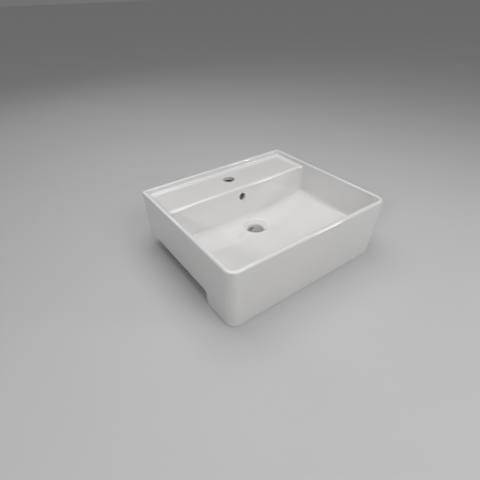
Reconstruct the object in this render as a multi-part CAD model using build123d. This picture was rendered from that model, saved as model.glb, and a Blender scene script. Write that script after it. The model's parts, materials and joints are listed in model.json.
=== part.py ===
from build123d import *

import math
import os

# The basin stands on a counter top at z = 0, and its waste hole's axis is x = 0, y = 0.
# The front is -Y and the wall is at +Y. All sizes are in millimetres.

# Outer block
width = 500.0
depth = 440.0
rim_z = 133.0
skirt_z = -42.0
waste_to_front = 238.0
side_draft = 1.15
front_draft = 3.4
back_draft = 1.8
front_corner_radius = 25.0
back_corner_radius = 12.0
rim_outer_radius = 5.0
rim_inner_radius = 3.5
foot_radius = 3.0

# Step in the underside, where the counter's front edge butts
step_y = -124.0
step_inner_radius = 9.0
step_outer_radius = 6.0

# Walls and the bowl inside them
wall = 12.0
floor_thickness = 11.0
bowl_side_draft = 2.4
bowl_front_radius = 16.0
bowl_back_radius = 15.0
bowl_foot_radius = 13.0
deck_z = 120.0
deck_edge_y = 67.0
deck_edge_radius = 8.0
deck_corner_radius = 7.0
deck_foot_radius = 2.5
back_wall_slope = 8.0

# Floor: a flat strip down the middle with a slope up to each side, and a dish round the waste hole
floor_z = 24.5
floor_flat_x = 62.0
floor_slope = 4.0
floor_blend_radius = 600.0
dish_radius = 36.5
dish_fall = 12.5
dish_shoulder_radius = 8.0

# Holes
waste_radius = 23.0
waste_lip_radius = 3.0
waste_boss_radius = 34.0
waste_boss_z = -35.0
tap_y = 134.0
tap_radius = 17.5
tap_lip_radius = 2.0
overflow_z = 91.0
overflow_tilt = 10.5
overflow_radius = 11.0
overflow_lip_radius = 1.5

# Overflow passage behind the back wall, down to a slot in the waste throat
duct_width = 40.0
duct_depth = 12.0
duct_wall = 10.0
duct_top_z = 103.0
duct_bottom_z = -10.0
slot_width = 24.0
slot_top_z = 2.0

# Web between the two pockets that are open from below
web_front_y = -135.0
web_back_y = -112.0

# Fixing points under the bowl, one each side
lug_x = 195.0
lug_radius = 16.0
lug_z = 3.0
lug_top_z = 30.0
anchor_radius = 6.0
anchor_length = 18.0
anchor_flange_radius = 8.0
anchor_flange = 1.2

# Fixing kit, set for a 20 mm thick counter
counter_thickness = 20.0
stud_radius = 4.0
stud_end_z = -41.0
stud_grip = 16.0
stud_chamfer = 0.8
bar_thickness = 3.0
bar_width = 22.0
bar_reach = 38.0
bar_hole_radius = 4.5
bar_end_radius = 7.0
heel_offset = 13.0
bend_radius = 2.0
pad_thickness = 3.0
pad_skin = 1.5
pad_start = 18.0
washer_radius = 8.0
washer_hole_radius = 4.2
washer_thickness = 1.6
nut_across_flats = 13.0
nut_height = 6.5
nut_hole_radius = 4.05
nut_chamfer_height = 0.5
nut_chamfer_width = 0.9

# Places worked out from the sizes above
front_y = -waste_to_front
back_y = depth - waste_to_front
bar_top_z = -counter_thickness - pad_thickness
washer_top_z = bar_top_z - bar_thickness
nut_top_z = washer_top_z - washer_thickness
reach = 2 * width

# Used to pick edges out by where they lie
same_place = 0.01
nearly_all = 0.9
step_zone = 20.0


def lean(angle, height):
    """How far a wall at this angle moves over a height."""
    return math.tan(math.radians(angle)) * height


def drafted_block(half_width, side_angle, y_front, front_angle, y_back, back_angle, bottom, top):
    """Block whose four walls lean in towards the bottom, given by its outline at the rim's height."""

    def half_at(z):
        return half_width - lean(side_angle, rim_z - z)

    def front_at(z):
        return y_front + lean(front_angle, rim_z - z)

    def back_at(z):
        return y_back - lean(back_angle, rim_z - z)

    across = Polygon(
        (-half_at(top), top),
        (half_at(top), top),
        (half_at(bottom), bottom),
        (-half_at(bottom), bottom),
        align=None,
    )
    along = Polygon(
        (front_at(top), top),
        (back_at(top), top),
        (back_at(bottom), bottom),
        (front_at(bottom), bottom),
        align=None,
    )
    cut_x = extrude(Plane.XZ * across, reach, both=True)
    cut_y = extrude(Plane.YZ * along, reach, both=True)
    return cut_x & cut_y


def upright_edges(block):
    """The four leaning corner edges of a drafted block, front ones first."""
    low = block.bounding_box().min.Z
    high = block.bounding_box().max.Z
    tall = [e for e in block.edges() if e.bounding_box().size.Z > nearly_all * (high - low)]
    return ShapeList(tall).sort_by(lambda e: e.center().Y)


def round_corners(block, front_radius, rear_radius):
    """Round a drafted block's front corners and then its back corners."""
    block = fillet(upright_edges(block)[:2], front_radius)
    return fillet(upright_edges(block)[-2:], rear_radius)


def above_floor(drop):
    """Everything above the floor, moved down by a drop."""
    rise = lean(floor_slope, width - floor_flat_x)
    outline = Polygon(
        (-width, floor_z + rise),
        (-floor_flat_x, floor_z),
        (floor_flat_x, floor_z),
        (width, floor_z + rise),
        (width, 2 * rim_z),
        (-width, 2 * rim_z),
        align=None,
    )
    bends = [v for v in outline.vertices() if abs(v.Y - floor_z) < same_place]
    outline = fillet(bends, floor_blend_radius)
    return Pos(0, 0, -drop) * extrude(Plane.XZ * outline, reach, both=True)


def bowl_block(thickness):
    """The bowl's space, grown by a wall thickness on every side."""
    block = drafted_block(
        width / 2 - wall + thickness,
        bowl_side_draft,
        front_y + wall - thickness,
        front_draft,
        deck_edge_y + lean(back_wall_slope, rim_z - deck_z) + thickness,
        back_wall_slope,
        skirt_z,
        rim_z,
    )
    block = round_corners(block, bowl_front_radius + thickness, bowl_back_radius + thickness)
    return block & above_floor(thickness)


def round_foot(bowl):
    """Round the foot of the bowl's walls all the way round, but not the bends along the floor."""
    low = [e for e in bowl.edges() if e.bounding_box().max.Z < floor_z + 2 * wall]
    bends = [e for e in low if abs(e.center().X) < width / 4 and e.bounding_box().size.Y > depth / 4]
    return fillet([e for e in low if e not in bends], bowl_foot_radius)


def deck_recess(bottom):
    """The space inside the rim, from above the rim down to a given height."""
    block = drafted_block(
        width / 2 - wall,
        bowl_side_draft,
        front_y + wall,
        front_draft,
        back_y - wall,
        back_draft,
        bottom,
        rim_z + wall,
    )
    return round_corners(block, bowl_front_radius, deck_corner_radius)


def slab(bottom, top):
    """A wide slab between two heights, to cut or keep what lies in it."""
    return Pos(0, 0, bottom) * Box(reach, reach, top - bottom, align=(Align.CENTER, Align.CENTER, Align.MIN))


def edges_at(shape, z):
    """The level edges of a shape that lie at one height."""
    level = [e for e in shape.edges() if e.bounding_box().size.Z < same_place]
    return ShapeList([e for e in level if abs(e.center().Z - z) < same_place])


def basin_space():
    """All the space above the deck and the floor, with the deck's front edge rolled over."""
    bowl = round_foot(bowl_block(0))
    flared = (bowl & slab(skirt_z, deck_z)) + slab(deck_z, rim_z)
    mouth = [e for e in edges_at(flared, deck_z) if math.hypot(e.center().X, e.center().Y) < width / 2]
    flared = fillet(mouth, deck_edge_radius) & slab(skirt_z, deck_z) & deck_recess(skirt_z)
    over_deck = deck_recess(deck_z)
    over_deck = fillet(edges_at(over_deck, deck_z), deck_foot_radius)
    return flared + over_deck + bowl


def outer_block():
    """The outside of the casting: leaning walls, stepped underside, rounded rim and feet."""
    block = drafted_block(
        width / 2, side_draft, front_y, front_draft, back_y, back_draft, skirt_z, rim_z
    )
    block = round_corners(block, front_corner_radius, back_corner_radius)
    step = Polygon((step_y, skirt_z - wall), (step_y, 0), (reach, 0), (reach, skirt_z - wall), align=None)
    step = fillet(step.vertices().sort_by_distance(Vector(step_y, 0))[0], step_inner_radius)
    block -= extrude(Plane.YZ * step, reach, both=True)
    lip = [e for e in edges_at(block, skirt_z) if abs(e.center().Y - step_y) < same_place]
    block = fillet(lip, step_outer_radius)
    rim = block.faces().sort_by(Axis.Z)[-1]
    block = fillet(rim.outer_wire().edges(), rim_outer_radius)
    low = [e for e in block.edges() if e.center().Z < 1]
    near_step = [e for e in low if abs(e.center().Y - step_y) < step_zone]
    across_underside = [e for e in near_step if e.length > nearly_all * width]
    feet = [e for e in low if e not in across_underside]
    return fillet(feet, foot_radius)


def post(radius, bottom, top, x=0, y=0):
    """Upright round post between two heights."""
    return Pos(x, y, bottom) * Cylinder(radius, top - bottom, align=(Align.CENTER, Align.CENTER, Align.MIN))


def back_wall_at(z):
    """Where the bowl's sloped back wall meets a height, on the bowl's side."""
    return deck_edge_y - lean(back_wall_slope, deck_z - z)


def along_wall(offset_front, offset_back, bottom, top, across):
    """A leaning slab that follows the back wall's slope, between two distances behind it."""
    outline = Polygon(
        (back_wall_at(bottom) + offset_front, bottom),
        (back_wall_at(top) + offset_front, top),
        (back_wall_at(top) + offset_back, top),
        (back_wall_at(bottom) + offset_back, bottom),
        align=None,
    )
    return extrude(Plane.YZ * outline, across / 2, both=True)


def pocket_block(bottom, top, y_from, y_to):
    """The inside of the outer walls between two heights, cut to a stretch of the depth."""
    block = drafted_block(
        width / 2 - wall, side_draft, front_y + wall, front_draft, back_y - wall, back_draft, bottom, top
    )
    block = round_corners(block, front_corner_radius - wall, back_corner_radius - wall / 2)
    window = Pos(0, (y_from + y_to) / 2, bottom) * Box(
        reach, y_to - y_from, top - bottom, align=(Align.CENTER, Align.CENTER, Align.MIN)
    )
    return block & window


def duct_casing():
    """Outside of the overflow passage, down the back wall and forward to the waste boss."""
    outside = duct_width + 2 * duct_wall
    behind = floor_thickness + duct_depth + duct_wall
    upright = along_wall(0, behind, duct_bottom_z - duct_wall, deck_z - floor_thickness / 2, outside)
    foot_back = back_wall_at(duct_bottom_z) + behind
    foot = Pos(0, foot_back / 2, duct_bottom_z - duct_wall) * Box(
        outside, foot_back, floor_z + duct_wall, align=(Align.CENTER, Align.CENTER, Align.MIN)
    )
    return upright + foot


def duct_passage():
    """Inside of the overflow passage, with its slot into the waste throat."""
    front_face = floor_thickness
    upright = along_wall(front_face, front_face + duct_depth, duct_bottom_z, duct_top_z, duct_width)
    slot_back = back_wall_at(duct_bottom_z) + front_face + duct_depth / 2
    slot = Pos(0, slot_back / 2, duct_bottom_z) * Box(
        slot_width, slot_back, slot_top_z - duct_bottom_z, align=(Align.CENTER, Align.CENTER, Align.MIN)
    )
    return upright + slot


def underside_pockets():
    """Space open from below: one pocket inside the skirt and one behind the web."""
    skirt_pocket = pocket_block(skirt_z - wall, deck_z - wall, front_y, web_front_y)
    rear_pocket = pocket_block(-wall, deck_z - wall, web_back_y, back_y)
    pockets = skirt_pocket + rear_pocket
    pockets -= bowl_block(floor_thickness)
    pockets -= duct_casing()
    pockets -= post(waste_boss_radius, waste_boss_z, floor_z)
    for side in (-1, 1):
        pockets -= post(lug_radius, lug_z, lug_top_z, side * lug_x)
    return pockets


def waste_bore():
    """The waste throat with the dish above it, before their edges are rounded."""
    dish = Cone(waste_radius, dish_radius, dish_fall, align=(Align.CENTER, Align.CENTER, Align.MIN))
    throat = post(waste_radius, waste_boss_z - wall, floor_z)
    return throat + Pos(0, 0, floor_z - dish_fall) * dish


def overflow_bore():
    """The overflow hole, tilted so that a straight tool clears the front rim."""
    angle = math.radians(overflow_tilt)
    mouth = Plane(
        origin=(0, back_wall_at(overflow_z), overflow_z),
        x_dir=(1, 0, 0),
        z_dir=(0, -math.cos(angle), math.sin(angle)),
    )
    length = floor_thickness + duct_depth / 2
    bore = Cylinder(overflow_radius, length + wall, align=(Align.CENTER, Align.CENTER, Align.MIN))
    return mouth * Pos(0, 0, -length) * bore


def round_mouth(space, centre, radius, lip):
    """Round a hole's circular edge, found by its centre and radius."""
    near = [e for e in space.edges() if (e.bounding_box().center() - centre).length < lip]
    return fillet([e for e in near if abs(e.length - 2 * math.pi * radius) < radius / 2], lip)


def casting_blank():
    """Outer block with the waste boss and the foot of the overflow passage below it."""
    blank = outer_block() + post(waste_boss_radius, waste_boss_z, foot_radius)
    return blank + (duct_casing() & slab(duct_bottom_z - duct_wall, foot_radius))


def basin_body():
    """The whole ceramic casting, in one piece."""
    space = basin_space() + waste_bore()
    space = round_mouth(space, Vector(0, 0, floor_z), dish_radius, dish_shoulder_radius)
    space = round_mouth(space, Vector(0, 0, floor_z - dish_fall), waste_radius, waste_lip_radius)
    space += post(tap_radius, deck_z - 3 * wall, rim_z, y=tap_y)
    space = round_mouth(space, Vector(0, tap_y, deck_z), tap_radius, tap_lip_radius)
    space += overflow_bore()
    overflow_mouth = Vector(0, back_wall_at(overflow_z), overflow_z)
    space = round_mouth(space, overflow_mouth, overflow_radius, overflow_lip_radius)
    body = casting_blank() - space
    rim_top = body.faces().sort_by(Axis.Z)[-1]
    body = fillet(rim_top.inner_wires()[0].edges(), rim_inner_radius)
    body -= underside_pockets()
    body -= duct_passage()
    for side in (-1, 1):
        body -= post(anchor_radius, lug_z - wall, lug_z + anchor_length, side * lug_x)
    return body


def anchor():
    """Nylon plug for a lug, with a flange and a blind hole for the stud."""
    plug = post(anchor_radius, lug_z, lug_z + anchor_length)
    plug += post(anchor_flange_radius, lug_z - anchor_flange, lug_z)
    return plug - post(stud_radius, lug_z - wall, lug_z + stud_grip)


def stud():
    """M8 stud from the anchor down through the clamp, with a chamfered lower end."""
    rod = post(stud_radius, stud_end_z, lug_z + stud_grip)
    return chamfer(rod.edges().filter_by(GeomType.CIRCLE).sort_by(Axis.Z)[0], stud_chamfer)


def clamp_bar():
    """Pressed steel bar along +X from the stud, with a heel leg that bears on the lug."""
    heel_out = -heel_offset - bar_thickness
    bottom = washer_top_z
    side_view = Polygon(
        (heel_out, bottom),
        (bar_reach, bottom),
        (bar_reach, bar_top_z),
        (-heel_offset, bar_top_z),
        (-heel_offset, lug_z),
        (heel_out, lug_z),
        align=None,
    )
    inner_corner = side_view.vertices().sort_by_distance(Vector(-heel_offset, bar_top_z))[0]
    side_view = fillet(inner_corner, bend_radius)
    outer_corner = side_view.vertices().sort_by_distance(Vector(heel_out, bottom))[0]
    side_view = fillet(outer_corner, bend_radius + bar_thickness)
    bar = extrude(Plane.XZ * side_view, bar_width / 2, both=True)
    far_end = [e for e in bar.edges().filter_by(Axis.Z) if abs(e.center().X - bar_reach) < same_place]
    bar = fillet(far_end, bar_end_radius)
    return bar - post(bar_hole_radius, bottom - wall, bar_top_z + wall)


def clamp_pad():
    """Rubber boot over the far end of the bar, thick on the side that meets the counter."""
    low_corner = Vector(pad_start, -bar_width / 2 - pad_skin, washer_top_z - pad_skin)
    high_corner = Vector(bar_reach + pad_skin, bar_width / 2 + pad_skin, -counter_thickness)
    size = high_corner - low_corner
    boot = Pos(*low_corner) * Box(size.X, size.Y, size.Z, align=(Align.MIN, Align.MIN, Align.MIN))
    far_end = [e for e in boot.edges().filter_by(Axis.Z) if abs(e.center().X - high_corner.X) < same_place]
    boot = fillet(far_end, bar_end_radius + pad_skin)
    return boot - clamp_bar()


def washer():
    """Flat washer under the bar."""
    ring = post(washer_radius, nut_top_z, washer_top_z)
    return ring - post(washer_hole_radius, nut_top_z - wall, washer_top_z + wall)


def nut():
    """Hexagon nut with its corners chamfered at the lower face."""
    bottom = nut_top_z - nut_height
    hexagon = RegularPolygon(nut_across_flats / 2, 6, major_radius=False)
    blank = extrude(Pos(0, 0, bottom) * hexagon, nut_height)
    corner_radius = nut_across_flats / 2 / math.cos(math.radians(30))
    turned = post(corner_radius, bottom, nut_top_z)
    lower_edge = turned.edges().filter_by(GeomType.CIRCLE).sort_by(Axis.Z)[0]
    turned = chamfer(lower_edge, nut_chamfer_height, nut_chamfer_width)
    return (blank & turned) - post(nut_hole_radius, bottom - wall, nut_top_z + wall)


def save(name, shape):
    """Write one piece to its own file."""
    shape.label = name
    export_step(shape, f"parts/{name}.step")


os.makedirs("parts", exist_ok=True)
save("basin_body", basin_body())
kit = {
    "anchor": anchor(),
    "stud": stud(),
    "clamp_bar": clamp_bar(),
    "clamp_pad": clamp_pad(),
    "washer": washer(),
    "nut": nut(),
}
for side, turn, x in (("left", 180, -lug_x), ("right", 0, lug_x)):
    for piece, shape in kit.items():
        save(f"{side}_{piece}", Pos(x, 0, 0) * Rot(0, 0, turn) * shape)
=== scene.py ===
import json
import math

import bpy
from mathutils import Matrix, Vector


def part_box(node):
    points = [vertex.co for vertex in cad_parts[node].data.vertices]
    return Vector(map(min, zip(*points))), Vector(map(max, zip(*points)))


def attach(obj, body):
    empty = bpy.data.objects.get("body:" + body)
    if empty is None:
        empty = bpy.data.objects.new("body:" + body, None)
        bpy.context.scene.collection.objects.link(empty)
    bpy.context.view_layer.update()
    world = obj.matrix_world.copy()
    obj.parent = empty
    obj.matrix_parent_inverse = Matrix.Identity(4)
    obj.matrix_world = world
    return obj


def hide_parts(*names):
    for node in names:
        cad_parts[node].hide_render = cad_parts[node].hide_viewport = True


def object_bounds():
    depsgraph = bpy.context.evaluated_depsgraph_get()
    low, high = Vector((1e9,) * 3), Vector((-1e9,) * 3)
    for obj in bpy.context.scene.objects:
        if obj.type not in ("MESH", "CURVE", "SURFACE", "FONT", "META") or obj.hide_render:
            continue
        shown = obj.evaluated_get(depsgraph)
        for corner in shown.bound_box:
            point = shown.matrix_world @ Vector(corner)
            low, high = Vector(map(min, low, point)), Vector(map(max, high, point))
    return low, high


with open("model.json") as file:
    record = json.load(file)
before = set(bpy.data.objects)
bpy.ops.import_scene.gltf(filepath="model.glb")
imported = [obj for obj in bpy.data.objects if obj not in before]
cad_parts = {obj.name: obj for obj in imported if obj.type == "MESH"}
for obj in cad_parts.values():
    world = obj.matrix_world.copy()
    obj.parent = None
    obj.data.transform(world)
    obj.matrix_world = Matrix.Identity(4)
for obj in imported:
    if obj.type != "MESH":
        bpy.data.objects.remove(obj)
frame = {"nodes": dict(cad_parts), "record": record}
cad_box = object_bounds()

# Places and sizes are in metres unless a name ends in MM. Angles are in degrees, and colours are linear.

# Camera at the photograph's viewing angle
VIEW_AZIMUTH = -35.165
VIEW_ELEVATION = 36.556
VIEW_ROLL = -1.144
VIEW_TARGET = Vector((-0.1638, -0.1513, 0.133))
VIEW_DISTANCE = 0.7698
LENS_MM = 25.92
SENSOR_MM = 36.0
CLIP_START = 0.01
CLIP_END = 50.0

# Stage
FLOOR_Z = cad_box[0].z
FLOOR_HALF = 20.0
FLOOR_TONE = 0.56
FLOOR_SHADE = 0.98
WORLD_STRENGTH = 0.035

# Lights: name, place, point it faces, width, length, power in watts
LIGHTS = [
    ("overhead", (0.0, 0.15, 1.5), (0, 0, 0), 1.2, 1.2, 8.7),
    ("front_high", (0.1, -1.6, 1.5), (0, 0, 0.1), 1.2, 0.8, 11.5),
    ("right_low", (1.25, -1.5, 0.69), (0, 0, 0.1), 0.2, 0.2, 4.0),
    ("left_small", (-1.45, -0.9, 1.1), (0, 0, 0.1), 0.14, 0.14, 4.8),
    ("back_high", (-0.3, 1.9, 1.3), (0, 0, 0.1), 1.4, 0.7, 3.6),
]
SKY_SOFTNESS = 110.0
SKY_STRENGTH = 0.70
BACKDROP_TONE = 0.17
WHITE = (1, 1, 1, 1)

# Glazed ceramic, with bare biscuit on what the casting stands on
GLAZE_WHITE = (0.808, 0.796, 0.787)
GLAZE_POOLED = (0.785, 0.774, 0.768)
BISCUIT = (0.69, 0.665, 0.62)
BISCUIT_ROUGHNESS = 0.75
SEAT_BAND = 0.0016
FACING_DOWN = -0.985

# Fixing kit
ZINC_BRIGHT = (0.58, 0.60, 0.63)
ZINC_WORN = (0.45, 0.46, 0.47)
NYLON_PALE = (0.70, 0.68, 0.60)
NYLON_DEEP = (0.64, 0.62, 0.54)
RUBBER_DARK = (0.018, 0.018, 0.019)
RUBBER_BLOOM = (0.042, 0.042, 0.044)

# The middle stretch of a noise's values, which holds most of them
NOISE_LOW = 0.3
NOISE_HIGH = 0.7

# Stud thread
THREAD_PITCH = 0.00125
THREAD_DEPTH = 0.0006
THREAD_SIDES = 32
THREAD_STEPS = 8


def turn(angle, axis):
    """Rotation about a main axis."""
    return Matrix.Rotation(math.radians(angle), 4, axis)


def link(thing):
    """Put an object in the scene."""
    bpy.context.scene.collection.objects.link(thing)
    return thing


def add_camera():
    """Camera that sees the part as the photograph does."""
    data = bpy.data.cameras.new("view")
    data.lens = LENS_MM
    data.sensor_width = SENSOR_MM
    data.clip_start = CLIP_START
    data.clip_end = CLIP_END
    camera = link(bpy.data.objects.new("view", data))
    aim = turn(VIEW_AZIMUTH, "Z") @ turn(90 - VIEW_ELEVATION, "X") @ turn(VIEW_ROLL, "Z")
    place = VIEW_TARGET + aim.to_3x3() @ Vector((0, 0, VIEW_DISTANCE))
    camera.matrix_world = Matrix.Translation(place) @ aim
    bpy.context.scene.camera = camera


def add_light(name, place, target, width, length, power):
    """Rectangular soft light that faces a point."""
    data = bpy.data.lights.new(name, "AREA")
    data.shape = "RECTANGLE"
    data.size = width
    data.size_y = length
    data.energy = power
    light = link(bpy.data.objects.new(name, data))
    away = Vector(place) - Vector(target)
    light.matrix_world = Matrix.Translation(place) @ away.to_track_quat("Z", "Y").to_matrix().to_4x4()


def add_sky():
    """A very soft light from straight above, which keeps the floor even all the way back."""
    data = bpy.data.lights.new("sky", "SUN")
    data.angle = math.radians(SKY_SOFTNESS)
    data.energy = SKY_STRENGTH
    link(bpy.data.objects.new("sky", data))


def add_world():
    """Faint light from all round, behind a plain backdrop tone."""
    world = bpy.data.worlds.new("studio")
    world.use_nodes = True
    tree = world.node_tree
    fill = tree.nodes["Background"]
    fill.inputs["Color"].default_value = WHITE
    fill.inputs["Strength"].default_value = WORLD_STRENGTH
    seen = tree.nodes.new("ShaderNodeBackground")
    seen.inputs["Color"].default_value = WHITE
    seen.inputs["Strength"].default_value = BACKDROP_TONE
    mixer = tree.nodes.new("ShaderNodeMixShader")
    tree.links.new(tree.nodes.new("ShaderNodeLightPath").outputs["Is Camera Ray"], mixer.inputs["Fac"])
    tree.links.new(fill.outputs["Background"], mixer.inputs[1])
    tree.links.new(seen.outputs["Background"], mixer.inputs[2])
    tree.links.new(mixer.outputs["Shader"], tree.nodes["World Output"].inputs["Surface"])
    bpy.context.scene.world = world


class Finish:
    """A principled material with helpers for its procedural detail."""

    def __init__(self, name, roughness, metallic=0.0, ior=1.5):
        self.material = bpy.data.materials.new(name)
        self.material.use_nodes = True
        self.tree = self.material.node_tree
        self.tree.nodes.clear()
        self.shader = self.node("ShaderNodeBsdfPrincipled")
        output = self.node("ShaderNodeOutputMaterial")
        self.join(self.shader.outputs["BSDF"], output.inputs["Surface"])
        self.set(Roughness=roughness, Metallic=metallic, IOR=ior)
        self.place = self.node("ShaderNodeTexCoord").outputs["Object"]

    def node(self, kind, **settings):
        made = self.tree.nodes.new(kind)
        for key, value in settings.items():
            setattr(made, key, value)
        return made

    def join(self, start, end):
        self.tree.links.new(start, end)

    def set(self, **values):
        for key, value in values.items():
            self.shader.inputs[key.replace("_", " ")].default_value = value

    def feed(self, socket, source):
        """Link a source to one of the shader's sockets."""
        self.join(source, self.shader.inputs[socket])

    def noise(self, scale, detail, stretch=(1, 1, 1)):
        """Noise with this many features to a metre, squeezed along the axes by a stretch."""
        mapping = self.node("ShaderNodeMapping")
        mapping.inputs["Scale"].default_value = stretch
        self.join(self.place, mapping.inputs["Vector"])
        texture = self.node("ShaderNodeTexNoise")
        texture.inputs["Scale"].default_value = scale
        texture.inputs["Detail"].default_value = detail
        self.join(mapping.outputs["Vector"], texture.inputs["Vector"])
        return texture.outputs["Fac"]

    def spread(self, source, low, high):
        """A noise's middle stretch, moved to a new range."""
        ranger = self.node("ShaderNodeMapRange")
        self.join(source, ranger.inputs["Value"])
        ranger.inputs["From Min"].default_value = NOISE_LOW
        ranger.inputs["From Max"].default_value = NOISE_HIGH
        ranger.inputs["To Min"].default_value = low
        ranger.inputs["To Max"].default_value = high
        return ranger.outputs["Result"]

    def blend(self, share, first, second):
        """Two colours, or two linked colours, mixed by a share."""
        mixer = self.node("ShaderNodeMix", data_type="RGBA")
        self.join(share, mixer.inputs["Factor"])
        for socket, colour in (("A", first), ("B", second)):
            slot = next(s for s in mixer.inputs if s.name == socket and s.type == "RGBA")
            if isinstance(colour, tuple):
                slot.default_value = (*colour, 1)
            else:
                self.join(colour, slot)
        return next(s for s in mixer.outputs if s.type == "RGBA")

    def drift(self, first, second, scale, detail):
        """A colour that drifts between two colours."""
        return self.blend(self.spread(self.noise(scale, detail), 0, 1), first, second)

    def calculate(self, operation, *values):
        """A sum on values that are numbers or linked."""
        made = self.node("ShaderNodeMath", operation=operation)
        for index, value in enumerate(values):
            if isinstance(value, (int, float)):
                made.inputs[index].default_value = value
            else:
                self.join(value, made.inputs[index])
        return made.outputs["Value"]

    def bump(self, height, strength, distance):
        """Fine relief on the surface, of this depth in metres."""
        made = self.node("ShaderNodeBump")
        made.inputs["Strength"].default_value = strength
        made.inputs["Distance"].default_value = distance
        self.join(height, made.inputs["Height"])
        self.join(made.outputs["Normal"], self.shader.inputs["Normal"])


def bare_patches(finish):
    """1 on level faces that look down at the counter's height or the skirt's foot, and 0 elsewhere."""
    place = finish.node("ShaderNodeSeparateXYZ")
    finish.join(finish.place, place.inputs["Vector"])
    height = place.outputs["Z"]
    facing = finish.node("ShaderNodeSeparateXYZ")
    finish.join(finish.node("ShaderNodeNewGeometry").outputs["Normal"], facing.inputs["Vector"])
    downward = finish.calculate("LESS_THAN", facing.outputs["Z"], FACING_DOWN)
    near_counter = finish.calculate("LESS_THAN", finish.calculate("ABSOLUTE", height), SEAT_BAND)
    near_foot = finish.calculate("LESS_THAN", height, FLOOR_Z + SEAT_BAND)
    return finish.calculate("MULTIPLY", downward, finish.calculate("MAXIMUM", near_counter, near_foot))


def glazed_ceramic():
    """White glaze: slight pooling tone, faint orange peel, and bare biscuit where the casting stood."""
    finish = Finish("glazed_ceramic", roughness=0.09, ior=1.52)
    finish.set(Coat_Weight=1.0, Coat_Roughness=0.025, Coat_IOR=1.5)
    bare = bare_patches(finish)
    glaze = finish.drift(GLAZE_WHITE, GLAZE_POOLED, scale=9, detail=3)
    finish.feed("Base Color", finish.blend(bare, glaze, BISCUIT))
    polish = finish.spread(finish.noise(scale=24, detail=2), low=0.06, high=0.12)
    matt = finish.calculate("MULTIPLY", bare, BISCUIT_ROUGHNESS)
    finish.feed("Roughness", finish.calculate("MAXIMUM", polish, matt))
    fine = finish.calculate("MULTIPLY", finish.noise(scale=260, detail=1), 0.15)
    peel = finish.calculate("ADD", finish.noise(scale=70, detail=1), fine)
    finish.bump(peel, strength=0.25, distance=0.00025)
    return finish.material


def zinc_steel():
    """Zinc-plated pressed steel: bluish grey, with rolled streaks and worn, duller patches."""
    finish = Finish("zinc_steel", roughness=0.32, metallic=1.0)
    finish.feed("Base Color", finish.drift(ZINC_BRIGHT, ZINC_WORN, scale=160, detail=4))
    finish.feed("Roughness", finish.spread(finish.noise(scale=420, detail=3), low=0.24, high=0.46))
    streaks = finish.noise(scale=900, detail=2, stretch=(0.15, 1, 1))
    finish.bump(streaks, strength=0.35, distance=0.00004)
    return finish.material


def nylon():
    """Moulded natural nylon: slightly translucent cream with a matt skin."""
    finish = Finish("nylon", roughness=0.42, ior=1.53)
    finish.set(Subsurface_Weight=0.12, Subsurface_Scale=0.002)
    finish.feed("Base Color", finish.drift(NYLON_PALE, NYLON_DEEP, scale=300, detail=2))
    finish.feed("Roughness", finish.spread(finish.noise(scale=700, detail=2), low=0.36, high=0.5))
    finish.bump(finish.noise(scale=1500, detail=2), strength=0.3, distance=0.00003)
    return finish.material


def rubber():
    """Black moulded rubber with a powdery bloom and a fine grain."""
    finish = Finish("rubber", roughness=0.7)
    finish.feed("Base Color", finish.drift(RUBBER_DARK, RUBBER_BLOOM, scale=220, detail=4))
    finish.feed("Roughness", finish.spread(finish.noise(scale=500, detail=2), low=0.6, high=0.8))
    finish.bump(finish.noise(scale=2200, detail=2), strength=0.5, distance=0.00004)
    return finish.material


def floor_paper():
    """Pale studio paper."""
    finish = Finish("floor_paper", roughness=0.85)
    pale = (FLOOR_TONE,) * 3
    shade = (FLOOR_TONE * FLOOR_SHADE,) * 3
    finish.feed("Base Color", finish.drift(pale, shade, scale=3, detail=2))
    return finish.material


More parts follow.
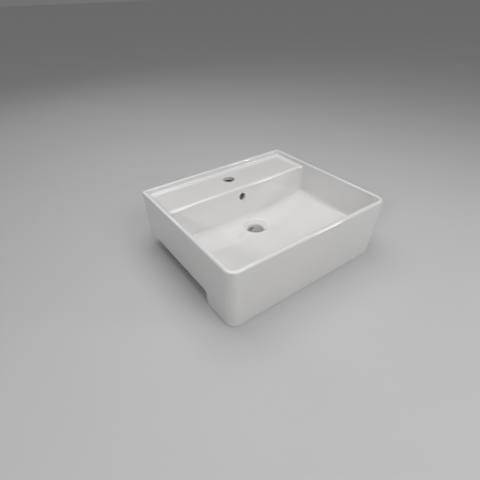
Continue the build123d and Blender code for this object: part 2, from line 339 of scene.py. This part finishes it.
def add_floor():
    """Square of studio paper at the height of the skirt's foot."""
    half = FLOOR_HALF
    corners = [(-half, -half, FLOOR_Z), (half, -half, FLOOR_Z), (half, half, FLOOR_Z), (-half, half, FLOOR_Z)]
    mesh = bpy.data.meshes.new("floor")
    mesh.from_pydata(corners, [], [(0, 1, 2, 3)])
    mesh.materials.append(floor_paper())
    link(bpy.data.objects.new("floor", mesh))


def threaded_stud(node, metal):
    """A rod with a rolled thread that stands for a plain CAD stud."""
    low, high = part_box(node)
    middle = (low + high) / 2
    crest = (high.x - low.x) / 2
    turns = (high.z - low.z) / THREAD_PITCH
    rows = int(turns * THREAD_STEPS)
    points = []
    for row in range(rows + 1):
        z = low.z + (high.z - low.z) * row / rows
        end_taper = max(0.0, THREAD_PITCH - (z - low.z))
        for side in range(THREAD_SIDES):
            angle = 2 * math.pi * side / THREAD_SIDES
            phase = (z / THREAD_PITCH - side / THREAD_SIDES) % 1.0
            groove = 1 - abs(2 * phase - 1)
            radius = crest - max(THREAD_DEPTH * groove, end_taper)
            points.append((middle.x + radius * math.cos(angle), middle.y + radius * math.sin(angle), z))
    faces = [tuple(reversed(range(THREAD_SIDES)))]
    for row in range(rows):
        base = row * THREAD_SIDES
        for side in range(THREAD_SIDES):
            after = (side + 1) % THREAD_SIDES
            faces.append((base + side, base + after, base + THREAD_SIDES + after, base + THREAD_SIDES + side))
    faces.append(tuple(rows * THREAD_SIDES + side for side in range(THREAD_SIDES)))
    mesh = bpy.data.meshes.new(node + "_thread")
    mesh.from_pydata(points, [], faces)
    mesh.materials.append(metal)
    stud = link(bpy.data.objects.new(node + "_thread", mesh))
    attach(stud, "root")
    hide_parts(node)


def dress_nodes():
    """Give every CAD node its finish, and the studs their threads."""
    finishes = {
        "glazed_ceramic": glazed_ceramic(),
        "zinc_steel": zinc_steel(),
        "nylon": nylon(),
        "rubber": rubber(),
    }
    for part in frame["record"]["subparts"]:
        node = frame["nodes"][part["node"]]
        node.data.materials.clear()
        node.data.materials.append(finishes[part["material_slot"]])
    for node in ("left_stud", "right_stud"):
        threaded_stud(node, finishes["zinc_steel"])


add_camera()
add_floor()
add_sky()
add_world()
for light in LIGHTS:
    add_light(*light)
dress_nodes()
bpy.context.scene.view_settings.view_transform = "Standard"
